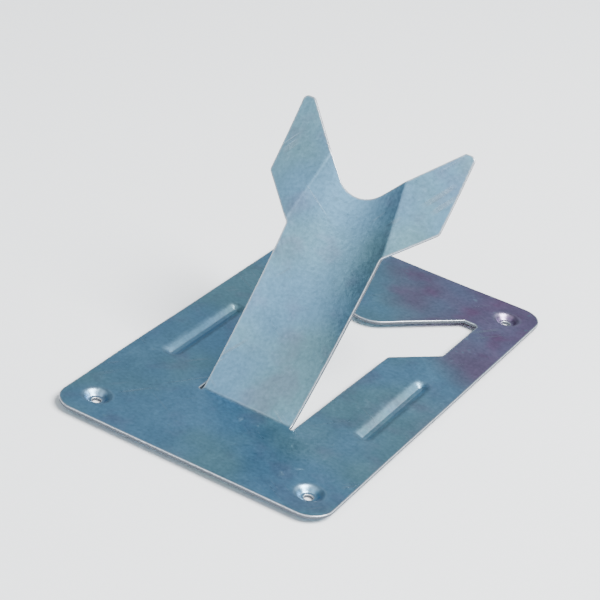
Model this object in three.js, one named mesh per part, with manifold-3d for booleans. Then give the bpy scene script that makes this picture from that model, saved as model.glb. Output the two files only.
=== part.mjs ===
// A bench stand for a soldering iron, pressed from one sheet of zinc-plated steel.
//
// The sheet lies on four pierced foot dimples. A tongue is cut free inside it on three
// sides and bent up along the fourth, so the hole left in the base has the flat outline
// of the tongue. The tongue ends in two horns with a V between them, which hold the
// iron's barrel. A gutter pressed along the tongue stiffens it, and so do two grooves
// pressed into the base on either side of the hole.
//
// Frame: millimetres, +X to the right, +Y from the bend towards the horns, +Z up.
// The origin is on the bench, under the middle of the base.

import * as THREE from "three";
import { mergeVertices } from "three/addons/utils/BufferGeometryUtils.js";
import Module from "manifold-3d";

const wasm = await Module();
wasm.setup();

const { degToRad } = THREE.MathUtils;

// ---- Driving dimensions, in millimetres and degrees ----

const SHEET = 0.8; // thickness of the steel
const BASE_WIDTH = 65;
const BASE_LENGTH = 112;
const BASE_CORNER = 5.5; // radius of the base's corners

const FOOT_DROP = 1.2; // how far a foot dimple stands below the sheet
const FOOT_RADIUS = 3.4;
const FOOT_FLAT = 1.7; // radius of the flat that rests on the bench
const FOOT_HOLE = 1.0; // radius of the hole pierced through it
const FOOT_FROM_SIDE = 6.8;
const FOOT_FROM_END = 7.8;

const GROOVE_DROP = 0.9;
const GROOVE_RADIUS = 2.7; // half the width of a groove
const GROOVE_FLOOR = 0.35; // half the width of its floor
const GROOVE_LENGTH = 32; // overall
const GROOVE_FROM_SIDE = 8.4;
const GROOVE_MIDDLE = 48; // from the front edge

const PRESS_LAP = 0.5; // how far a pressed form runs into the flat sheet round it

const BEND_LINE = 26.3; // from the front edge
const BEND_ANGLE = 43; // the tongue's rise just beyond the bend
const BEND_INSIDE_RADIUS = 1.0;
const TONGUE_RADIUS = 286; // beyond the bend the tongue curves on gently, to this radius

const STEM_HALF_AT_BEND = 11.6; // half width of the hole at the bend
const STEM_HALF_AT_TOP = 12.7; // and where the stem ends
const STEM_END = 40.8; // distances beyond the bend line, along the flat sheet
const FLARE_HALF = 21.9;
const FLARE_END = 50.5;
const HORN_HALF = 22;
const HORN_END = 69.7;
const HORN_TOP_HALF = 18.5; // half width at the inner corner of a horn's end
const NOTCH_VERTEX = 49.4; // where the V's straight sides would meet
const NOTCH_RADIUS = 6.4; // round bottom of the V
const CUT_CORNER = 1.4; // radius on the flare's corners
const HORN_CORNER = 1.2; // radius on a horn's outer corner, and half of it on its inner one
const CUT_GAP = 0.7; // gap that the cutting tool leaves round the tongue

const GUTTER_ANGLE = 20; // slope of the gutter's sides where the stem ends
const WING_ANGLE = 3.5; // how far the wings lean back from the tongue's plane
const WING_TAPER = 9; // how fast the two wing folds close in, from parallel
const FOLD_RADIUS = 2.2;

// ---- Fineness of the curves ----

const CORNER_STEPS = 6; // even, so that the V has a point on the middle line
const ARC_STEPS = 10; // round half a circle
const BASE_CORNER_STEPS = 12; // round one corner of the base
const WALL_STEPS = 4;
const BEND_STEPS = 4;
const ROW_SPACING = 5;
const GUTTER_COLUMNS = 6;
const FOLD_COLUMNS = 2;
const WING_COLUMNS = 1;
const WELD_DISTANCE = 1e-4; // points nearer than this become one
const LEAST_ROW = 1e-3; // rows of the tongue nearer than this become one
const PROBE = 0.01; // half the distance over which a surface's slope is taken
const LEAST_BEND = 1e-6; // an arc that turns less, in radians, is drawn straight

// ---- Derived places ----

const SHEET_TOP = FOOT_DROP + SHEET;
const FRONT = -BASE_LENGTH / 2;
const BEND_Y = FRONT + BEND_LINE;
const BEND = degToRad(BEND_ANGLE);
const BEND_RADIUS = BEND_INSIDE_RADIUS + SHEET / 2; // at the middle of the sheet
const BEND_ARC = BEND_RADIUS * BEND;
const BEND_START = -BEND_RADIUS * Math.tan(BEND / 2); // from the bend line

// ---- Solids ----

// A triangle soup welded into a closed manifold-3d solid; collapsed triangles drop out.
function solidFromSoup(positions) {
  const soup = new THREE.BufferGeometry();
  soup.setAttribute("position", new THREE.Float32BufferAttribute(positions, 3));
  const welded = mergeVertices(soup, WELD_DISTANCE);
  const kept = [];
  const index = welded.index.array;
  for (let i = 0; i < index.length; i += 3) {
    const [a, b, c] = index.slice(i, i + 3);
    if (a !== b && b !== c && c !== a) kept.push(a, b, c);
  }
  const vertProperties = new Float32Array(welded.attributes.position.array);
  return new wasm.Manifold(
    new wasm.Mesh({ numProp: 3, vertProperties, triVerts: new Uint32Array(kept) }),
  );
}

function solidFromGeometry(geometry) {
  const flat = geometry.index ? geometry.toNonIndexed() : geometry;
  return solidFromSoup(Array.from(flat.attributes.position.array));
}

function geometryFromSolid(solid) {
  const mesh = solid.getMesh();
  const geometry = new THREE.BufferGeometry();
  geometry.setAttribute("position", new THREE.BufferAttribute(mesh.vertProperties, 3));
  geometry.setIndex(new THREE.BufferAttribute(mesh.triVerts, 1));
  geometry.computeVertexNormals();
  return geometry;
}

function pushQuad(soup, a, b, c, d) {
  for (const corner of [a, b, c, a, c, d]) soup.push(...corner);
}

// ---- Outlines ----

// Points of a polyline through corners [x, y, radius], each corner an arc of that radius.
// The first and last corners are its ends.
function roundedPolyline(corners) {
  const at = corners.map(([x, y]) => new THREE.Vector2(x, y));
  const points = [at[0]];
  for (let i = 1; i < corners.length - 1; i += 1) {
    const back = at[i - 1].clone().sub(at[i]).normalize();
    const on = at[i + 1].clone().sub(at[i]).normalize();
    const halfAngle = Math.acos(back.dot(on)) / 2;
    const radius = corners[i][2];
    const inwards = back.clone().add(on).normalize();
    const centre = at[i].clone().addScaledVector(inwards, radius / Math.sin(halfAngle));
    const start = at[i].clone().addScaledVector(back, radius / Math.tan(halfAngle));
    const turn = (Math.PI - 2 * halfAngle) * -Math.sign(back.cross(on));
    for (let k = 0; k <= CORNER_STEPS; k += 1) {
      points.push(start.clone().rotateAround(centre, (turn * k) / CORNER_STEPS));
    }
  }
  return [...points, at[at.length - 1]];
}

// The tongue's outline on the flat sheet, as (x, distance beyond the bend line): up the
// right side, round the horn, through the V and back down the left. A gap shrinks it.
function cutOutline(gap) {
  const slope = HORN_TOP_HALF / (HORN_END - NOTCH_VERTEX);
  const vertex = NOTCH_VERTEX - gap / Math.sin(Math.atan(slope));
  const end = HORN_END - gap;
  const right = [
    [STEM_HALF_AT_BEND - gap, BEND_START, 0],
    [STEM_HALF_AT_TOP - gap, STEM_END, CUT_CORNER],
    [FLARE_HALF - gap, FLARE_END, CUT_CORNER],
    [HORN_HALF - gap, end, HORN_CORNER],
    [(end - vertex) * slope, end, HORN_CORNER / 2],
  ];
  const left = right.map(([x, y, radius]) => [-x, y, radius]).reverse();
  return roundedPolyline([...right, [0, vertex, NOTCH_RADIUS + gap], ...left]);
}

function roundedRectangle(width, length, radius) {
  const x = width / 2 - radius;
  const y = length / 2 - radius;
  const shape = new THREE.Shape();
  shape.absarc(x, y, radius, 0, Math.PI / 2);
  shape.absarc(-x, y, radius, Math.PI / 2, Math.PI);
  shape.absarc(-x, -y, radius, Math.PI, 1.5 * Math.PI);
  shape.absarc(x, -y, radius, 1.5 * Math.PI, 2 * Math.PI);
  return shape;
}

// A slot in plan, along Y: the round outline of a dimple where its straight part is zero.
function slotPath({ x, y, radius, straight }) {
  const path = new THREE.Path();
  path.absarc(x, y + straight / 2, radius, 0, Math.PI);
  path.absarc(x, y - straight / 2, radius, Math.PI, 2 * Math.PI);
  return path;
}

// ---- Base ----

function baseSlab(presses) {
  const shape = roundedRectangle(BASE_WIDTH, BASE_LENGTH, BASE_CORNER);
  const hole = cutOutline(0).map((p) => new THREE.Vector2(p.x, p.y + BEND_Y));
  shape.holes.push(new THREE.Path(hole), ...presses.map(slotPath));
  const slab = new THREE.ExtrudeGeometry(shape, {
    depth: SHEET,
    bevelEnabled: false,
    curveSegments: BASE_CORNER_STEPS,
  });
  slab.translate(0, 0, FOOT_DROP);
  return solidFromGeometry(slab);
}

// Section [radius, height] of a form pressed down into the sheet: a flat floor, a smooth
// wall up to the rim, and a flat lap that joins the sheet round it.
function pressedSection(drop, holeRadius, floorRadius, rimRadius) {
  const upper = [[holeRadius, SHEET_TOP - drop]];
  for (let k = 0; k <= WALL_STEPS; k += 1) {
    const share = k / WALL_STEPS;
    const below = (drop * (1 + Math.cos(Math.PI * share))) / 2;
    upper.push([THREE.MathUtils.lerp(floorRadius, rimRadius, share), SHEET_TOP - below]);
  }
  upper.push([rimRadius + PRESS_LAP, SHEET_TOP]);
  const lower = upper.map(([radius, height]) => [radius, height - SHEET]);
  return [...lower, ...upper.reverse()];
}

// The section carried round a slot, which makes a round dimple or a long groove.
function pressedForm({ x, y, straight, section }) {
  const stations = [1, -1].flatMap((end) =>
    Array.from({ length: ARC_STEPS + 1 }, (_, k) => ({
      angle: (Math.PI * k) / ARC_STEPS + (end > 0 ? 0 : Math.PI),
      middle: y + (end * straight) / 2,
    })),
  );
  const point = ({ angle, middle }, [radius, height]) => [
    x + radius * Math.cos(angle),
    middle + radius * Math.sin(angle),
    height,
  ];
  const soup = [];
  stations.forEach((from, i) => {
    const to = stations[(i + 1) % stations.length];
    section.forEach((low, j) => {
      const high = section[(j + 1) % section.length];
      const onAxis = low[0] === 0 && high[0] === 0;
      if (!onAxis) pushQuad(soup, point(from, low), point(to, low), point(to, high), point(from, high));
    });
  });
  return solidFromSoup(soup);
}

function feet() {
  const x = BASE_WIDTH / 2 - FOOT_FROM_SIDE;
  const y = BASE_LENGTH / 2 - FOOT_FROM_END;
  const section = pressedSection(FOOT_DROP, FOOT_HOLE, FOOT_FLAT, FOOT_RADIUS);
  return [[-x, -y], [x, -y], [x, y], [-x, y]].map(([atX, atY]) => ({
    x: atX,
    y: atY,
    radius: FOOT_RADIUS,
    straight: 0,
    section,
  }));
}

function grooves() {
  const x = BASE_WIDTH / 2 - GROOVE_FROM_SIDE;
  const section = pressedSection(GROOVE_DROP, 0, GROOVE_FLOOR, GROOVE_RADIUS);
  return [-x, x].map((atX) => ({
    x: atX,
    y: FRONT + GROOVE_MIDDLE,
    radius: GROOVE_RADIUS,
    straight: GROOVE_LENGTH - 2 * GROOVE_RADIUS,
    section,
  }));
}

// ---- Tongue ----

// Where the tongue's shape stands at a distance s beyond the bend line on the flat sheet.
// The gutter grows along the stem; beyond it the gutter keeps its curve and the two wing
// folds close in on it.
function tongueStation(s) {
  const beyond = Math.max(s - BEND_START - BEND_ARC, 0);
  const stem = STEM_END - BEND_START - BEND_ARC;
  const climb = Math.min(beyond / stem, 1);
  const growth = Math.sin((Math.PI / 2) * climb);
  const stemHalf = THREE.MathUtils.lerp(STEM_HALF_AT_BEND, STEM_HALF_AT_TOP, climb) - CUT_GAP;
  const fold = stemHalf - Math.max(beyond - stem, 0) * Math.tan(degToRad(WING_TAPER));
  const edge = degToRad(GUTTER_ANGLE) * growth;
  const gutter = (edge * fold) / stemHalf;
  const wing = -degToRad(WING_ANGLE) * growth;
  const depth = edge > 0 ? (stemHalf * (1 - Math.cos(edge))) / edge : 0;
  return { beyond, gutter, wing, fold, depth, foldArc: FOLD_RADIUS * (gutter - wing) };
}

// The cross-section at distance u from the middle, as [sideways, rise]: an arc for the
// gutter, an arc for the wing fold, then the flat wing.
function crossSection(u, { fold, foldArc, gutter, wing }) {
  const pieces = [
    [fold, gutter],
    [foldArc, wing],
    [BASE_WIDTH, wing],
  ];
  let [x, rise, slope, left] = [0, 0, 0, u];
  for (const [length, endSlope] of pieces) {
    const part = Math.min(left, length);
    const bend = length > 0 ? ((endSlope - slope) * part) / length : 0;
    const chord = Math.abs(bend) < LEAST_BEND ? part : (2 * part * Math.sin(bend / 2)) / bend;
    x += chord * Math.cos(slope + bend / 2);
    rise += chord * Math.sin(slope + bend / 2);
    slope += bend;
    left -= part;
  }
  return [x, rise];
}

// The middle of the bent sheet, from its flat position u across and s along the tongue.
function bentPoint(u, s) {
  const station = tongueStation(s);
  const [x, height] = crossSection(Math.abs(u), station);
  const lift = height - station.depth;
  const along = s - BEND_START;
  const bend = THREE.MathUtils.clamp(along / BEND_RADIUS, 0, BEND);
  const turn = bend + station.beyond / TONGUE_RADIUS;
  const y = Math.min(along, 0) + BEND_RADIUS * Math.sin(bend);
  const z = BEND_RADIUS * (1 - Math.cos(bend));
  const yBeyond = TONGUE_RADIUS * (Math.sin(turn) - Math.sin(bend));
  const zBeyond = TONGUE_RADIUS * (Math.cos(bend) - Math.cos(turn));
  return new THREE.Vector3(
    Math.sign(u) * x,
    BEND_Y + BEND_START + y + yBeyond - lift * Math.sin(turn),
    SHEET_TOP - SHEET / 2 + z + zBeyond + lift * Math.cos(turn),
  );
}

// The upper (side 1) or lower (side -1) skin over the same place.
function skinPoint(u, s, side) {
  const across = bentPoint(u + PROBE, s).sub(bentPoint(u - PROBE, s));
  const along = bentPoint(u, s + PROBE).sub(bentPoint(u, s - PROBE));
  const normal = across.cross(along).normalize();
  return bentPoint(u, s).addScaledVector(normal, (side * SHEET) / 2).toArray();
}

// x at the height y of a polyline that climbs in y; beyond its ends, x of the nearer end.
function widthAt(line, y) {
  if (y < line[0].y) return line[0].x;
  const i = line.findIndex((p, k) => k > 0 && p.y >= y);
  if (i < 0) return line[line.length - 1].x;
  const [a, b] = [line[i - 1], line[i]];
  return THREE.MathUtils.mapLinear(y, a.y, b.y, a.x, b.x);
}

// Rows of u across the right half, from the middle or the V to the outer edge.
function tongueRows() {
  const outline = cutOutline(CUT_GAP);
  const half = outline.slice(0, (outline.length + 1) / 2);
  const top = half.findIndex((p) => p.y > HORN_END - CUT_GAP - LEAST_ROW);
  const outer = half.slice(0, top + 1);
  const inner = half.slice(top + 1).reverse();
  const heights = half.map((p) => p.y);
  for (let k = 0; k <= BEND_STEPS; k += 1) heights.push(BEND_START + (BEND_ARC * k) / BEND_STEPS);
  for (let y = BEND_START + BEND_ARC; y < HORN_END - CUT_GAP; y += ROW_SPACING) heights.push(y);
  heights.push(BEND_START - PRESS_LAP);
  heights.sort((a, b) => a - b);
  const rows = heights.filter((y, i) => i === 0 || y - heights[i - 1] > LEAST_ROW);
  return rows.map((s) => {
    const { fold, foldArc } = tongueStation(s);
    const [inside, outside] = [widthAt(inner, s), widthAt(outer, s)];
    const stops = [fold, fold + foldArc].map((u) => THREE.MathUtils.clamp(u, inside, outside));
    const bands = [
      [inside, stops[0], GUTTER_COLUMNS],
      [stops[0], stops[1], FOLD_COLUMNS],
      [stops[1], outside, WING_COLUMNS],
    ];
    const us = [inside];
    for (const [from, to, columns] of bands) {
      for (let k = 1; k <= columns; k += 1) us.push(from + ((to - from) * k) / columns);
    }
    return { s, us };
  });
}

function tongue() {
  const soup = [];
  const rows = tongueRows();
  for (const hand of [1, -1]) {
    const quad = (...corners) => pushQuad(soup, ...(hand > 0 ? corners : corners.reverse()));
    const skin = (row, j, side) => skinPoint(hand * row.us[j], row.s, side);
    const last = rows[0].us.length - 1;
    const wall = (rowA, a, rowB, b) =>
      quad(skin(rowA, a, -1), skin(rowB, b, -1), skin(rowB, b, 1), skin(rowA, a, 1));
    for (let i = 0; i + 1 < rows.length; i += 1) {
      const [near, far] = [rows[i], rows[i + 1]];
      for (let j = 0; j < last; j += 1) {
        quad(skin(near, j, 1), skin(near, j + 1, 1), skin(far, j + 1, 1), skin(far, j, 1));
        quad(skin(near, j, -1), skin(far, j, -1), skin(far, j + 1, -1), skin(near, j + 1, -1));
      }
      wall(near, last, far, last);
      if (far.us[0] > 0) wall(far, 0, near, 0);
    }
    for (let j = 0; j < last; j += 1) {
      wall(rows[0], j, rows[0], j + 1);
      wall(rows[rows.length - 1], j + 1, rows[rows.length - 1], j);
    }
  }
  return solidFromSoup(soup);
}

// ---- The stand ----

function standPlate() {
  const presses = [...feet(), ...grooves()];
  const forms = presses.map(pressedForm);
  return [...forms, tongue()].reduce((whole, form) => whole.add(form), baseSlab(presses));
}

const steel = new THREE.MeshStandardMaterial({ color: 0x8fa6b8, roughness: 0.38, metalness: 0.9 });
const plate = new THREE.Mesh(geometryFromSolid(standPlate()), steel);
plate.name = "stand_plate";

const stand = new THREE.Group();
stand.add(plate);

export default stand;
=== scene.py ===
"""The looks of a bench stand for a soldering iron, pressed from one zinc-plated steel sheet.

The sheet is drawn flat first, as a fine mesh of its blank with the slot that the tongue is
cut free by. Each point is then carried to its place on the pressed and bent sheet, and a
skin is raised on both sides of it, with rounded cut edges between them.
Lengths are in millimetres until the mesh is made, in metres, at the end.
"""

import math

import bpy
import numpy as np
from mathutils import Matrix, Vector
from mathutils.geometry import delaunay_2d_cdt


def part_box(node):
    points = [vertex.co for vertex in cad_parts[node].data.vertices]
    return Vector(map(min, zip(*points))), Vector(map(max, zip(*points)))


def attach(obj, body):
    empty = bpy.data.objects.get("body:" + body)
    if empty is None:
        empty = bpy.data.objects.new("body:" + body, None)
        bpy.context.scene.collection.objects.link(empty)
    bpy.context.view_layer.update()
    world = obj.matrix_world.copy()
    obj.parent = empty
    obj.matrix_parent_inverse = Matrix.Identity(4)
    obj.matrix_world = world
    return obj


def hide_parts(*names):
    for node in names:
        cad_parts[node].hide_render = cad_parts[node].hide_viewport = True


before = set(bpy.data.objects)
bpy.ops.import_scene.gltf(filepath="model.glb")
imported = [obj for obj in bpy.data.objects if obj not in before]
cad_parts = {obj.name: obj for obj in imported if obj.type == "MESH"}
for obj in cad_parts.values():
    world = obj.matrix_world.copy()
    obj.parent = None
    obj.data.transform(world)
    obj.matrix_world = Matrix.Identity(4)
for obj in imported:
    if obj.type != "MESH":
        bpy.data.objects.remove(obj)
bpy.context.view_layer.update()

MM = 0.001

# ---- The sheet's driving dimensions, as in the CAD model ----

PLATE_LOW, PLATE_HIGH = (np.array(corner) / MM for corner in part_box("stand_plate"))
BASE_WIDTH, BASE_LENGTH = (PLATE_HIGH - PLATE_LOW)[:2]
BASE_CORNER = 5.5
SHEET = 0.8
FOOT_DROP = 1.2
FOOT_HOLE, FOOT_FLAT, FOOT_RADIUS = 1.0, 1.7, 3.4
FOOT_PLACE = np.array([BASE_WIDTH / 2 - 6.8, BASE_LENGTH / 2 - 7.8])
GROOVE_DROP = 0.9
GROOVE_FLOOR, GROOVE_RADIUS = 0.35, 2.7
GROOVE_X = BASE_WIDTH / 2 - 8.4
GROOVE_Y = -BASE_LENGTH / 2 + 48
GROOVE_STRAIGHT = 32 - 2 * GROOVE_RADIUS
WAVE = 0.12  # how far the flat sheet waves up and down
WALL_FOOT, WALL_TOP = 0.15, 0.45  # shares of a pressed wall rounded at its foot and at its top

BEND_Y = -BASE_LENGTH / 2 + 26.3
BEND = math.radians(43)
BEND_RADIUS = 1.0 + SHEET / 2
BEND_ARC = BEND_RADIUS * BEND
BEND_START = -BEND_RADIUS * math.tan(BEND / 2)
TONGUE_RADIUS = 286

STEM_HALF_AT_BEND, STEM_HALF_AT_TOP, STEM_END = 11.6, 12.7, 40.8
FLARE_HALF, FLARE_END = 21.9, 50.5
HORN_HALF, HORN_END, HORN_TOP_HALF = 22, 69.7, 18.5
NOTCH_VERTEX, NOTCH_RADIUS = 49.4, 6.4
CUT_CORNER, HORN_CORNER = 1.4, 1.2
CUT_GAP = 0.7
GUTTER_EDGE = math.radians(20)
WING_LEAN = math.radians(3.5)
WING_TAPER = math.tan(math.radians(9))
FOLD_RADIUS = 2.2
STEM = STEM_END - BEND_START - BEND_ARC

# ---- Colours of the metal, as linear light ----

BLUE = (0.185, 0.37, 0.53)
TEAL = (0.21, 0.39, 0.46)
VIOLET = (0.28, 0.14, 0.28)
DULL = (0.15, 0.26, 0.34)
BARE = (0.54, 0.60, 0.66)
BURNISHED = (0.62, 0.60, 0.61)
# the fractured lower band of a cut edge: near black, which is painted shade on the edge's lower half
# as well as the fractured metal's own dullness
TORN_AND_PAINTED_SHADE = (0.07, 0.08, 0.10)

# ---- Fineness of the metal's marks, in waves to the metre ----

FILM_PATCHES, FILM_TINTS = 36, 120
SCRATCH_PATCHES, CLOUDS, STAINS = 70, 150, 420
SPANGLE, GRAIN, ROLLING = 950, 1200, 1700
SHEAR_STREAKS, TORN_GRAIN = 2600, 5200
SKINS_APART = 60  # stretches the sheet's thickness, so that its two skins differ in their marks

# ---- The studio, in metres; a lamp is its name, place, size, radiance and colour ----

SKY = (0.70, 0.86, 1.0)  # the cool light that the flat sheet mirrors
SKY_STRENGTH = 0.32
LAMPS = [
    ("top", (0.55, 0.10, 0.84), 0.7, 28, (1, 1, 1)),
    ("over_tongue", (-0.10, -0.55, 0.80), 1.4, 0.82, (0.95, 0.98, 1.0)),
    ("over_wings", (-0.20, -0.85, 0.50), 0.6, 2.9, (0.9, 0.97, 1.0)),
    ("behind", (-0.22, 0.75, 0.60), 0.8, 0.26, SKY),
    ("behind_right", (0.30, 0.83, 0.47), 0.5, 1.1, (0.85, 0.95, 1.0)),
]
FLOOR_SIZE = 6
PAPER_DARK, PAPER_LIGHT = (0.88, 0.885, 0.89), (0.91, 0.915, 0.92)
PAPER_TOOTH = 900  # waves to the metre
CAMERA_PLACE = Vector((0.15869, -0.35895, 0.22724))
CAMERA_TARGET = Vector((-0.004, -0.0045, 0.0162))
CAMERA_ROLL = math.radians(10.4)
LENS_MM, SENSOR_MM = 122, 36

# ---- Fineness of the mesh ----

EDGE_ROUND = 0.13  # radius that shearing and plating leave along the cut edges
EDGE_STEPS = 3
CORNER_STEPS, HOLE_STEPS, SLOT_END_STEPS = 14, 28, 6
ARC_STEP = 0.35
OUTLINE_STEP = 0.8
DOUBLED = 1e-3  # points of an outline closer than this count as one
INSIDE_STEP = 1.25
BESIDE_EDGE = 0.8  # distance of the first row of points from the cut edges
PROBE = 0.02  # half the distance over which a slope or a curvature is taken


# ---- Outlines of the blank ----

def turn_of(a, b):
    """Twice the signed area between plane vectors."""
    return a[..., 0] * b[..., 1] - a[..., 1] * b[..., 0]


def arc(centre, radius, start, turn, steps):
    angles = start + turn * np.arange(steps + 1) / steps
    return np.stack([centre[0] + radius * np.cos(angles), centre[1] + radius * np.sin(angles)], 1)


def rounded(corners):
    """Points through corners (x, y, radius), each an arc; the first and last stay sharp ends."""
    at = np.array([corner[:2] for corner in corners])
    points = [at[:1]]
    for i in range(1, len(at) - 1):
        back = (at[i - 1] - at[i]) / np.linalg.norm(at[i - 1] - at[i])
        on = (at[i + 1] - at[i]) / np.linalg.norm(at[i + 1] - at[i])
        half = math.acos(back @ on) / 2
        radius = corners[i][2]
        inwards = (back + on) / np.linalg.norm(back + on)
        centre = at[i] + inwards * radius / math.sin(half)
        first = at[i] + back * radius / math.tan(half) - centre
        turn = -(math.pi - 2 * half) * math.copysign(1, turn_of(back, on))
        steps = max(4, math.ceil(abs(turn) * radius / ARC_STEP))
        points.append(arc(centre, radius, math.atan2(first[1], first[0]), turn, steps))
    return np.concatenate([*points, at[-1:]])


def spaced(points):
    """The same closed line with no stretch longer than OUTLINE_STEP and no doubled points."""
    made = []
    for a, b in zip(points, np.roll(points, -1, axis=0)):
        steps = max(1, math.ceil(np.linalg.norm(b - a) / OUTLINE_STEP))
        made.extend(a + (b - a) * k / steps for k in range(steps))
    made = np.array(made)
    fresh = np.linalg.norm(made - np.roll(made, 1, axis=0), axis=1) > DOUBLED
    return made[fresh]


def tongue_outline(gap):
    """Up the right side of the tongue, through the V and down the left, in the row frame."""
    slope = HORN_TOP_HALF / (HORN_END - NOTCH_VERTEX)
    vertex = NOTCH_VERTEX - gap / math.sin(math.atan(slope))
    end = HORN_END - gap
    right = [
        (STEM_HALF_AT_BEND - gap, BEND_START, 0),
        (STEM_HALF_AT_TOP - gap, STEM_END, CUT_CORNER),
        (FLARE_HALF - gap, FLARE_END, CUT_CORNER),
        (HORN_HALF - gap, end, HORN_CORNER),
        ((end - vertex) * slope, end, HORN_CORNER / 2),
    ]
    left = [(-x, y, radius) for x, y, radius in reversed(right)]
    line = rounded([*right, (0, vertex, NOTCH_RADIUS + gap), *left])
    return line + [0, BEND_Y]


def slot_outline():
    """The narrow slot round the tongue, with a round end on each side of the bend."""
    hole, tongue = tongue_outline(0), tongue_outline(CUT_GAP)
    radius = CUT_GAP / 2
    end_x = STEM_HALF_AT_BEND - radius
    end_y = BEND_Y + BEND_START
    left_end = arc((-end_x, end_y), radius, math.pi, math.pi, SLOT_END_STEPS)
    right_end = arc((end_x, end_y), radius, math.pi, math.pi, SLOT_END_STEPS)
    return spaced(np.concatenate([hole, left_end[1:-1], tongue[::-1], right_end[1:-1]]))


def base_outline():
    x, y = BASE_WIDTH / 2 - BASE_CORNER, BASE_LENGTH / 2 - BASE_CORNER
    quarter = math.pi / 2
    corners = [(x, -y, -quarter), (x, y, 0), (-x, y, quarter), (-x, -y, math.pi)]
    arcs = [arc((cx, cy), BASE_CORNER, start, quarter, CORNER_STEPS) for cx, cy, start in corners]
    return spaced(np.concatenate(arcs))


def foot_outlines():
    places = [FOOT_PLACE * (i, j) for i in (-1, 1) for j in (-1, 1)]
    return [arc(place, FOOT_HOLE, 0, 2 * math.pi, HOLE_STEPS)[:-1] for place in places]


def side_normals(line, outer):
    """Unit normals of a closed outline, in the sheet's plane, pointing out of the steel."""
    ahead = np.roll(line, -1, axis=0) - line
    ahead /= np.linalg.norm(ahead, axis=1)[:, None]
    along = ahead + np.roll(ahead, 1, axis=0)
    along /= np.linalg.norm(along, axis=1)[:, None]
    area = np.sum(turn_of(line, np.roll(line, -1, axis=0)))
    hand = math.copysign(1, area) * (1 if outer else -1)
    return hand * np.stack([along[:, 1], -along[:, 0]], 1)


# ---- From the flat blank to the pressed and bent sheet ----

def form_depth(distance, drop, floor, rim):
    """Depth of a pressed form: a flat floor, then a straight wall with a rounded foot and top."""
    share = np.clip((distance - floor) / (rim - floor), 0, 1)
    steepness = 1 / (1 - (WALL_FOOT + WALL_TOP) / 2)
    at_foot = steepness * share**2 / (2 * WALL_FOOT)
    on_wall = steepness * (share - WALL_FOOT / 2)
    at_top = 1 - steepness * (1 - share) ** 2 / (2 * WALL_TOP)
    risen = np.where(share < WALL_FOOT, at_foot, np.where(share > 1 - WALL_TOP, at_top, on_wall))
    return drop * (1 - risen)


def press_depth(points):
    """How far the forms pressed into the base push its middle surface down."""
    x, y = np.abs(points[:, 0]), points[:, 1]
    foot = np.hypot(x - FOOT_PLACE[0], np.abs(y) - FOOT_PLACE[1])
    beyond = np.maximum(np.abs(y - GROOVE_Y) - GROOVE_STRAIGHT / 2, 0)
    groove = np.hypot(x - GROOVE_X, beyond)
    pressed = form_depth(foot, FOOT_DROP, FOOT_FLAT, FOOT_RADIUS)
    return pressed + form_depth(groove, GROOVE_DROP, GROOVE_FLOOR, GROOVE_RADIUS)


def cross_section(u, fold, gutter, wing):
    """Sideways place and rise at distance u from the middle: gutter arc, fold arc, flat wing."""
    x, rise = np.zeros_like(u), np.zeros_like(u)
    slope, left = np.zeros_like(u), u.copy()
    fold_arc = FOLD_RADIUS * (gutter - wing)
    for length, end_slope in ((fold, gutter), (fold_arc, wing), (fold * 0 + BASE_WIDTH, wing)):
        part = np.minimum(left, length)
        bend = np.where(length > 1e-9, (end_slope - slope) * part / np.maximum(length, 1e-9), 0)
        chord = part * np.sinc(bend / 2 / math.pi)
        x += chord * np.cos(slope + bend / 2)
        rise += chord * np.sin(slope + bend / 2)
        slope = slope + bend
        left = left - part
    return x, rise


def tongue_middle(points):
    u, along = points[:, 0], points[:, 1] - BEND_Y - BEND_START
    beyond = np.maximum(along - BEND_ARC, 0)
    climb = np.minimum(beyond / STEM, 1)
    growth = np.sin(math.pi / 2 * climb)
    stem_half = STEM_HALF_AT_BEND + (STEM_HALF_AT_TOP - STEM_HALF_AT_BEND) * climb - CUT_GAP
    fold = stem_half - np.maximum(beyond - STEM, 0) * WING_TAPER
    edge = GUTTER_EDGE * growth
    depth = stem_half * np.where(edge > 1e-6, (1 - np.cos(edge)) / np.maximum(edge, 1e-6), 0)
    x, height = cross_section(np.abs(u), fold, edge * fold / stem_half, -WING_LEAN * growth)
    lift = height - depth
    bend = np.clip(along / BEND_RADIUS, 0, BEND)
    turn = bend + beyond / TONGUE_RADIUS
    y = np.minimum(along, 0) + BEND_RADIUS * np.sin(bend) - lift * np.sin(turn)
    y += TONGUE_RADIUS * (np.sin(turn) - np.sin(bend))
    z = BEND_RADIUS * (1 - np.cos(bend)) + lift * np.cos(turn)
    z += TONGUE_RADIUS * (np.cos(bend) - np.cos(turn))
    return np.stack([np.sign(u) * x, BEND_Y + BEND_START + y, z], 1)


def waviness(points):
    """How far a real sheet is out of flat; it is true at the feet, which hold it level."""
    x, y = points[:, 0], points[:, 1]
    broad = np.sin(x / 11.5 + 0.6) * np.sin(y / 16 + 0.3)
    narrow = np.sin((0.6 * x + y) / 6.8 + 1.9)
    from_foot = np.hypot(np.abs(x) - FOOT_PLACE[0], np.abs(y) - FOOT_PLACE[1])
    held = np.clip((from_foot - FOOT_RADIUS) / 14, 0, 1)
    return WAVE * (broad + 0.3 * narrow) * held**2 * (3 - 2 * held)


def middle(points, on_tongue):
    """Middle surface of the finished sheet over points of the blank."""
    base = np.column_stack([points, -press_depth(points)])
    made = np.where(on_tongue[:, None], tongue_middle(points), base)
    made[:, 2] += FOOT_DROP + SHEET / 2 + waviness(points)
    return made


def skin(points, on_tongue, height):
    """Places and normals of the sheet at a height above its middle surface."""
    steps = ([PROBE, 0], [-PROBE, 0], [0, PROBE], [0, -PROBE])
    ahead = [middle(points + step, on_tongue) for step in steps]
    normal = np.cross(ahead[0] - ahead[1], ahead[2] - ahead[3])
    normal /= np.linalg.norm(normal, axis=1)[:, None]
    return middle(points, on_tongue) + normal * height[:, None], normal


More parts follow.
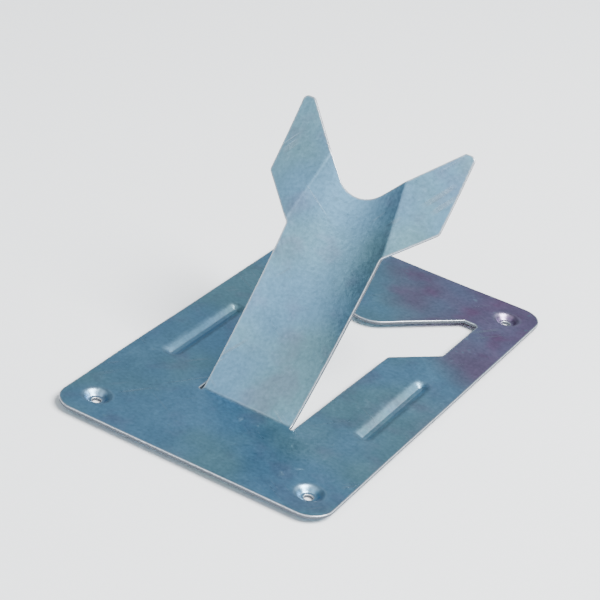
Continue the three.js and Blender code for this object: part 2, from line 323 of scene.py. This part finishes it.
def bending_strain(points, on_tongue):
    """Stretch of the skin by bending: half the thickness times the sheet's curvature."""
    middle_height = np.zeros(len(points))
    curvature = np.zeros(len(points))
    for step in np.array([[PROBE, 0], [0, PROBE]]):
        ahead, behind = (skin(points + s * step, on_tongue, middle_height)[1] for s in (1, -1))
        curvature += np.linalg.norm(ahead - behind, axis=1) / (2 * PROBE)
    return curvature * SHEET / 2


# ---- The fine mesh ----

def inside(points, loop):
    """Which points a closed outline goes round."""
    x, y = points[:, :1], points[:, 1:]
    a, b = loop, np.roll(loop, -1, axis=0)
    with np.errstate(divide="ignore", invalid="ignore"):
        crossing = (a[:, 0] - b[:, 0]) * (y - b[:, 1]) / (a[:, 1] - b[:, 1]) + b[:, 0]
    spans = (a[:, 1] > y) != (b[:, 1] > y)
    return np.sum(spans & (x < crossing), axis=1) % 2 == 1


def distance_to(points, loops):
    """Shortest distance from each point to any of the closed outlines."""
    best = np.full(len(points), np.inf)
    for loop in loops:
        a, along = loop, np.roll(loop, -1, axis=0) - loop
        for part in np.array_split(np.arange(len(points)), 8):
            to = points[part][:, None] - a[None]
            share = np.clip(np.sum(to * along, 2) / np.sum(along * along, 1), 0, 1)
            gap = np.linalg.norm(to - share[..., None] * along, axis=2).min(1)
            best[part] = np.minimum(best[part], gap)
    return best


def slot_ring(centre, radius, straight, step):
    """Points round a slot along Y, or round a circle where its straight part is zero."""
    half = straight / 2
    if radius == 0:
        return np.array([(centre[0], centre[1] + y) for y in np.arange(-half, half + 1e-6, step)])
    steps = max(8, math.ceil(math.pi * radius / step))
    upper_end = arc((centre[0], centre[1] + half), radius, 0, math.pi, steps)
    lower_end = arc((centre[0], centre[1] - half), radius, math.pi, math.pi, steps)
    sides = np.arange(-half + step, half, step)
    rails = [(centre[0] + s * radius, centre[1] + y) for s in (-1, 1) for y in sides]
    return np.concatenate([upper_end, lower_end, np.array(rails).reshape(-1, 2)])


def form_points():
    """Closely spaced rings over the walls of the foot dimples and the grooves."""
    on_flat = (FOOT_HOLE + FOOT_FLAT) / 2
    foot_radii = [on_flat, *np.linspace(FOOT_FLAT, FOOT_RADIUS, 8), FOOT_RADIUS + 0.6]
    groove_radii = [0, *np.linspace(GROOVE_FLOOR, GROOVE_RADIUS, 9), GROOVE_RADIUS + 0.5]
    rings = []
    for i in (-1, 1):
        for j in (-1, 1):
            rings += [slot_ring(FOOT_PLACE * (i, j), radius, 0, 0.45) for radius in foot_radii]
        groove = (i * GROOVE_X, GROOVE_Y)
        rings += [slot_ring(groove, radius, GROOVE_STRAIGHT, 0.6) for radius in groove_radii]
    return np.concatenate(rings)


def bend_points():
    """Rows along the bend, close enough together for its small radius."""
    heights = BEND_Y + BEND_START + BEND_ARC * np.arange(-3, 10) / 6
    across = np.arange(-STEM_HALF_AT_BEND, STEM_HALF_AT_BEND, 0.6)
    return np.array([(x, y) for y in heights for x in across])


def fold_points():
    """Lines along the two wing folds."""
    made = []
    for s in np.arange(STEM_END, HORN_END, 0.6):
        beyond = s - BEND_START - BEND_ARC
        fold = STEM_HALF_AT_TOP - CUT_GAP - (beyond - STEM) * WING_TAPER
        arc_length = FOLD_RADIUS * (GUTTER_EDGE + WING_LEAN)
        for share in (-0.4, 0, 0.25, 0.5, 0.75, 1, 1.4):
            made += [(hand * (fold + share * arc_length), BEND_Y + s) for hand in (-1, 1)]
    return np.array(made)


def grid_points():
    rows = np.arange(-BASE_LENGTH / 2, BASE_LENGTH / 2, INSIDE_STEP * math.sqrt(3) / 2)
    columns = np.arange(-BASE_WIDTH / 2, BASE_WIDTH / 2, INSIDE_STEP)
    shift = INSIDE_STEP / 2
    return np.array([(x + (i % 2) * shift, y) for i, y in enumerate(rows) for x in columns])


def in_steel(points, loops):
    outer, *holes = loops
    found = inside(points, outer)
    for hole in holes:
        found &= ~inside(points, hole)
    return found


def inside_points(loops, edge_rows):
    """Points over the blank: rows beside the cut edges and over forms first, then a loose grid."""
    groups = [(edge_rows, 0.5), (form_points(), 0.22), (bend_points(), 0.12)]
    groups += [(fold_points(), 0.25), (grid_points(), 0.85)]
    cells = {}
    kept = []
    for points, gap in groups:
        room = distance_to(points, loops)
        points = points[in_steel(points, loops) & (room > max(0.8 * gap, 0.2))]
        for x, y in points:
            i, j = int(x // INSIDE_STEP), int(y // INSIDE_STEP)
            near = (q for a in (-1, 0, 1) for b in (-1, 0, 1) for q in cells.get((i + a, j + b), ()))
            if all((x - u) ** 2 + (y - v) ** 2 > gap * gap for u, v in near):
                cells.setdefault((i, j), []).append((x, y))
                kept.append((x, y))
    return np.array(kept)


def blank_mesh(outlines, normals):
    """Triangles over the flat blank, whose first points are those of its outlines in turn."""
    loops = [line - EDGE_ROUND * normal for line, normal in zip(outlines, normals)]
    beside = np.concatenate([line - BESIDE_EDGE * normal for line, normal in zip(outlines, normals)])
    border = np.concatenate(loops)
    points = np.concatenate([border, inside_points(loops, beside)])
    edges = []
    for loop in loops:
        first = len(edges)
        edges += [(first + k, first + (k + 1) % len(loop)) for k in range(len(loop))]
    made, _, faces, originals, _, _ = delaunay_2d_cdt(
        [Vector(point) for point in points], edges, [], 0, 1e-6
    )
    home = [sources[0] for sources in originals]
    triangles = np.array([[home[v] for v in face] for face in faces])
    corners = points[triangles]
    triangles = triangles[in_steel(corners.mean(1), loops)]
    corners = points[triangles]
    area = turn_of(corners[:, 1] - corners[:, 0], corners[:, 2] - corners[:, 0])
    triangles[area < 0] = triangles[area < 0][:, ::-1]
    return points, triangles, loops


def edge_profile():
    """Rows round a cut edge as (outwards, above the middle, turn from the upper skin's normal)."""
    turns = np.linspace(0, math.pi / 2, EDGE_STEPS + 1)
    upper = [(EDGE_ROUND * math.sin(a), SHEET / 2 - EDGE_ROUND * (1 - math.cos(a)), a) for a in turns]
    lower = [(out, -height, math.pi - a) for out, height, a in reversed(upper)]
    return [*upper[1:], *lower[:-1]]


def layer(points, on_tongue, height, rim, turn=0, out=None):
    """One skin, or one row round a cut edge: places, normals, blank places, rims and strains."""
    height = np.full(len(points), height)
    place, normal = skin(points, on_tongue, height)
    sideways = 0
    if out is not None:
        sideways = skin(points + PROBE * out, on_tongue, height)[0] - place
        sideways /= np.linalg.norm(sideways, axis=1)[:, None]
    normal = normal * math.cos(turn) + sideways * math.sin(turn)
    strain = bending_strain(points, on_tongue)
    return place, normal, np.column_stack([points, height]), rim, strain


def edge_faces(rows, flipped):
    made = []
    for upper, lower in zip(rows, rows[1:]):
        quads = np.stack([upper, lower, np.roll(lower, -1), np.roll(upper, -1)], 1)
        made += (quads[:, ::-1] if flipped else quads).tolist()
    return made


def sheet_arrays():
    """The finished sheet: its layers' arrays, its faces and how many of them are skin."""
    outlines = [base_outline(), slot_outline(), *foot_outlines()]
    normals = [side_normals(line, outer=i == 0) for i, line in enumerate(outlines)]
    points, triangles, loops = blank_mesh(outlines, normals)
    on_tongue = inside(points, tongue_outline(CUT_GAP / 2))
    rim = distance_to(points, outlines)
    layers = [layer(points, on_tongue, SHEET / 2, rim)]
    layers.append(layer(points, on_tongue, -SHEET / 2, rim, turn=math.pi))
    count = len(points)
    faces = [*triangles.tolist(), *(triangles[:, ::-1] + count).tolist()]
    skin_faces = len(faces)
    first, made = 0, 2 * count
    for loop, normal in zip(loops, normals):
        ring = np.arange(first, first + len(loop))
        rows = [ring]
        for out, height, turn in edge_profile():
            line = loop + out * normal
            layers.append(layer(line, on_tongue[ring], height, np.zeros(len(line)), turn, normal))
            rows.append(np.arange(made, made + len(loop)))
            made += len(loop)
        rows.append(ring + count)
        anticlockwise = np.sum(turn_of(loop, np.roll(loop, -1, axis=0))) > 0
        faces += edge_faces(rows, flipped=anticlockwise != (first == 0))
        first += len(loop)
    return [np.concatenate(part) for part in zip(*layers)], faces, skin_faces


def sheet_object(materials):
    (places, directions, blank, rims, strains), faces, skin_faces = sheet_arrays()
    mesh = bpy.data.meshes.new("stand_sheet")
    mesh.from_pydata((places * MM).tolist(), [], faces)
    for material in materials:
        mesh.materials.append(material)
    slots = np.zeros(len(faces), dtype=np.int32)
    slots[skin_faces:] = 1
    mesh.polygons.foreach_set("material_index", slots)
    mesh.polygons.foreach_set("use_smooth", np.ones(len(faces), dtype=bool))
    flat = mesh.attributes.new("blank", "FLOAT_VECTOR", "POINT")
    flat.data.foreach_set("vector", (blank * MM).astype(np.float32).ravel())
    for name, values in (("rim", rims * MM), ("strain", strains)):
        stored = mesh.attributes.new(name, "FLOAT", "POINT")
        stored.data.foreach_set("value", values.astype(np.float32))
    mesh.validate(verbose=False)
    mesh.normals_split_custom_set_from_vertices(directions.tolist())
    sheet = bpy.data.objects.new("stand_sheet", mesh)
    bpy.context.collection.objects.link(sheet)
    return sheet


# ---- Materials, whose rims and heights are in metres ----

class Shading:
    """A material whose nodes are made and joined by short calls."""

    def __init__(self, name):
        self.material = bpy.data.materials.new(name)
        self.material.use_nodes = True
        self.tree = self.material.node_tree
        self.shader = self.tree.nodes["Principled BSDF"]

    def put(self, socket, value):
        if isinstance(value, bpy.types.NodeSocket):
            self.tree.links.new(value, socket)
        else:
            socket.default_value = value

    def add(self, kind, inputs, **settings):
        node = self.tree.nodes.new("ShaderNode" + kind)
        for name, value in settings.items():
            setattr(node, name, value)
        for key, value in inputs.items():
            self.put(node.inputs[key], value)
        return node

    def stored(self, name, output):
        """A value or vector that the mesh carries at its vertices."""
        return self.add("Attribute", {}, attribute_name=name).outputs[output]

    def maths(self, operation, *values):
        return self.add("Math", dict(enumerate(values)), operation=operation).outputs[0]

    def stretched(self, place, scales):
        return self.add("VectorMath", {0: place, 1: scales}, operation="MULTIPLY").outputs[0]

    def noise(self, place, scale, detail=2.0, roughness=0.5):
        """Noise about 0.5, with a number of waves to the metre."""
        inputs = {"Vector": place, "Scale": scale, "Detail": detail, "Roughness": roughness}
        return self.add("TexNoise", inputs).outputs["Fac"]

    def ramp(self, value, low, high, to_low=0.0, to_high=1.0):
        """The value carried from low..high to to_low..to_high, smoothly and no further."""
        names = ("Value", "From Min", "From Max", "To Min", "To Max")
        inputs = dict(zip(names, (value, low, high, to_low, to_high)))
        return self.add("MapRange", inputs, interpolation_type="SMOOTHSTEP").outputs["Result"]

    def mix(self, share, first, second, blend="MIX"):
        node = self.add("Mix", {"Factor": share}, data_type="RGBA", blend_type=blend)
        for name, value in (("A", first), ("B", second)):
            socket = next(s for s in node.inputs if s.name == name and s.type == "RGBA")
            self.put(socket, (*value, 1) if isinstance(value, tuple) else value)
        return next(s for s in node.outputs if s.type == "RGBA")

    def sum(self, first, *others):
        for other in others:
            first = self.maths("ADD", first, other)
        return first

    def scaled(self, value, factor, offset=0.0):
        return self.maths("MULTIPLY_ADD", value, factor, offset)

    def along(self, place, direction):
        node = self.add("VectorMath", {0: place, 1: direction}, operation="DOT_PRODUCT")
        return node.outputs["Value"]

    def grey(self, value):
        return self.add("CombineColor", {i: value for i in range(3)}).outputs[0]

    def relief(self, height, metres):
        """Fine relief, as deep as the height's range of 0..1 times that many metres."""
        bump = self.add("Bump", {"Height": height, "Distance": metres, "Strength": 1.0})
        self.put(self.shader.inputs["Normal"], bump.outputs[0])


def scratches(shade, blank, angle, fineness, cutoff):
    """Fine straight marks of handling, all in one direction, over part of the sheet."""
    inputs = {"Vector": blank, "Rotation": (0, 0, math.radians(angle))}
    turned = shade.add("Mapping", inputs).outputs[0]
    lines = shade.noise(shade.stretched(turned, (1, 0.025, 1)), fineness, 1.0)
    patches = shade.noise(turned, SCRATCH_PATCHES, 1.0)
    sharp = shade.ramp(lines, cutoff, cutoff + 0.03)
    return shade.maths("MULTIPLY", sharp, shade.ramp(patches, 0.54, 0.66))


def film_colour(shade, place):
    """The passivation film: blue and teal in broad patches, violet where it drained and dried."""
    patches = shade.noise(place, FILM_PATCHES)
    tints = shade.noise(place, FILM_TINTS)
    drained = shade.along(place, (16, 14, -12))
    violet = shade.ramp(shade.sum(drained, shade.scaled(patches, 1.6, -0.8)), 0.35, 0.95)
    violet = shade.sum(shade.scaled(violet, 0.8), shade.ramp(tints, 0.50, 0.72, 0.0, 0.2))
    colour = shade.mix(shade.ramp(patches, 0.38, 0.62), BLUE, TEAL)
    return shade.mix(violet, colour, VIOLET)


def passivated_zinc():
    """Blue-passivated zinc over rolled steel, with its film, grain, handling marks and wear."""
    shade = Shading("zinc_plated_steel")
    blank = shade.stretched(shade.stored("blank", "Vector"), (1, 1, SKINS_APART))
    place = shade.add("TexCoord", {}).outputs["Object"]
    clouds = shade.noise(blank, CLOUDS, 4.0, 0.62)
    grain = shade.noise(blank, GRAIN, 3.0, 0.6)
    spangle = shade.add("TexVoronoi", {"Vector": blank, "Scale": SPANGLE}).outputs["Distance"]
    rolling = shade.noise(shade.stretched(blank, (1, 0.03, 1)), ROLLING)
    one_way = scratches(shade, blank, angle=34, fineness=900, cutoff=0.64)
    other_way = scratches(shade, blank, angle=-58, fineness=1300, cutoff=0.66)
    marks = shade.maths("MAXIMUM", one_way, other_way)
    stains = shade.ramp(shade.noise(blank, STAINS), 0.66, 0.74, 0.0, 0.45)
    bent = shade.ramp(shade.stored("strain", "Fac"), 0.05, 0.5, 0.0, 0.15)
    ragged_rim = shade.sum(shade.stored("rim", "Fac"), shade.scaled(grain, 0.0006, -0.0003))
    worn = shade.ramp(ragged_rim, 0.00045, 0.00005, 0.0, 0.8)

    shades = shade.sum(shade.scaled(clouds, 0.30, 0.85), shade.scaled(grain, 0.50, -0.25))
    shades = shade.sum(shades, shade.scaled(rolling, 0.10, -0.05))
    colour = shade.mix(1.0, film_colour(shade, place), shade.grey(shades), "MULTIPLY")
    colour = shade.mix(stains, colour, DULL)
    colour = shade.mix(bent, colour, BARE)
    colour = shade.mix(shade.scaled(marks, 0.22), colour, BARE)
    shade.put(shade.shader.inputs["Base Color"], shade.mix(worn, colour, BARE))

    rough = shade.sum(shade.scaled(clouds, 0.18, 0.24), shade.scaled(grain, 0.10, -0.05))
    rough = shade.sum(rough, shade.scaled(marks, -0.07), shade.scaled(worn, -0.05))
    shade.put(shade.shader.inputs["Roughness"], shade.sum(rough, shade.scaled(stains, 0.25)))
    shade.shader.inputs["Metallic"].default_value = 1.0

    height = shade.sum(grain, shade.scaled(spangle, 0.55), shade.scaled(rolling, 0.4))
    height = shade.sum(height, shade.scaled(marks, -0.4), shade.scaled(clouds, 1.6))
    shade.relief(height, 0.000022)
    return shade.material


def sheared_edge():
    """A plated cut edge: a burnished band above, where the tool cut, and a rough fractured band
    below, coloured darker than such metal is, as painted shade.
    """
    shade = Shading("sheared_edge")
    blank = shade.stored("blank", "Vector")
    height = shade.add("SeparateXYZ", {0: blank}).outputs["Z"]
    streaks = shade.noise(shade.stretched(blank, (1, 1, 0.08)), SHEAR_STREAKS)
    torn_grain = shade.noise(blank, TORN_GRAIN, 3.0, 0.65)
    border = shade.sum(height, shade.scaled(streaks, 0.0003, -0.00015))
    # mask of the lower band: its colour there is painted shade as well as fractured metal, while its
    # roughness and pits are the metal's own
    torn_and_painted_shade = shade.ramp(border, 0.00028, 0.00014)
    colour = shade.mix(shade.scaled(streaks, 0.5), BARE, BURNISHED)
    # painted shade: the lower half of the cut edge darkened towards near black
    colour = shade.mix(shade.scaled(torn_and_painted_shade, 0.9), colour, TORN_AND_PAINTED_SHADE)
    shade.put(shade.shader.inputs["Base Color"], colour)
    rough = shade.sum(shade.scaled(torn_and_painted_shade, 0.25, 0.28), shade.scaled(torn_grain, 0.1))
    shade.put(shade.shader.inputs["Roughness"], rough)
    shade.shader.inputs["Metallic"].default_value = 0.9
    pits = shade.maths("MULTIPLY", torn_grain, torn_and_painted_shade)
    shade.relief(shade.sum(shade.scaled(streaks, 0.35), pits), 0.00003)
    return shade.material


def floor_paper():
    """Matt white studio card with a faint tooth."""
    shade = Shading("floor_paper")
    tooth = shade.noise(shade.add("TexCoord", {}).outputs["Object"], PAPER_TOOTH)
    colour = shade.mix(tooth, PAPER_DARK, PAPER_LIGHT)
    shade.put(shade.shader.inputs["Base Color"], colour)
    shade.shader.inputs["Roughness"].default_value = 0.75
    shade.shader.inputs["Specular IOR Level"].default_value = 0.2
    return shade.material


# ---- Studio ----

def studio_floor():
    bpy.ops.mesh.primitive_plane_add(size=FLOOR_SIZE)
    floor = bpy.context.object
    floor.name = "floor"
    floor.data.materials.append(floor_paper())


def softbox(name, place, size, radiance, colour):
    """A round lamp aimed at the stand; its power is pi times its radiance times its area."""
    lamp = bpy.data.lights.new(name, "AREA")
    lamp.shape, lamp.size = "DISK", size
    lamp.energy = math.pi * radiance * math.pi * (size / 2) ** 2
    lamp.color = colour
    holder = bpy.data.objects.new(name, lamp)
    bpy.context.collection.objects.link(holder)
    holder.location = place
    holder.rotation_euler = (-Vector(place)).to_track_quat("-Z", "Y").to_euler()


def studio_lights():
    world = bpy.data.worlds.new("studio")
    bpy.context.scene.world = world
    world.use_nodes = True
    background = world.node_tree.nodes["Background"]
    background.inputs["Color"].default_value = (*SKY, 1)
    background.inputs["Strength"].default_value = SKY_STRENGTH
    for lamp in LAMPS:
        softbox(*lamp)


def studio_camera():
    optics = bpy.data.cameras.new("camera")
    optics.lens, optics.sensor_width = LENS_MM, SENSOR_MM
    camera = bpy.data.objects.new("camera", optics)
    bpy.context.collection.objects.link(camera)
    look = (CAMERA_TARGET - CAMERA_PLACE).normalized()
    level = look.to_track_quat("-Z", "Y").to_matrix()
    turn = Matrix.Rotation(-CAMERA_ROLL, 3, look)
    camera.matrix_world = Matrix.Translation(CAMERA_PLACE) @ (turn @ level).to_4x4()
    bpy.context.scene.camera = camera


studio_camera()
studio_floor()
studio_lights()
sheet = sheet_object([passivated_zinc(), sheared_edge()])
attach(sheet, "root")
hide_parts("stand_plate")
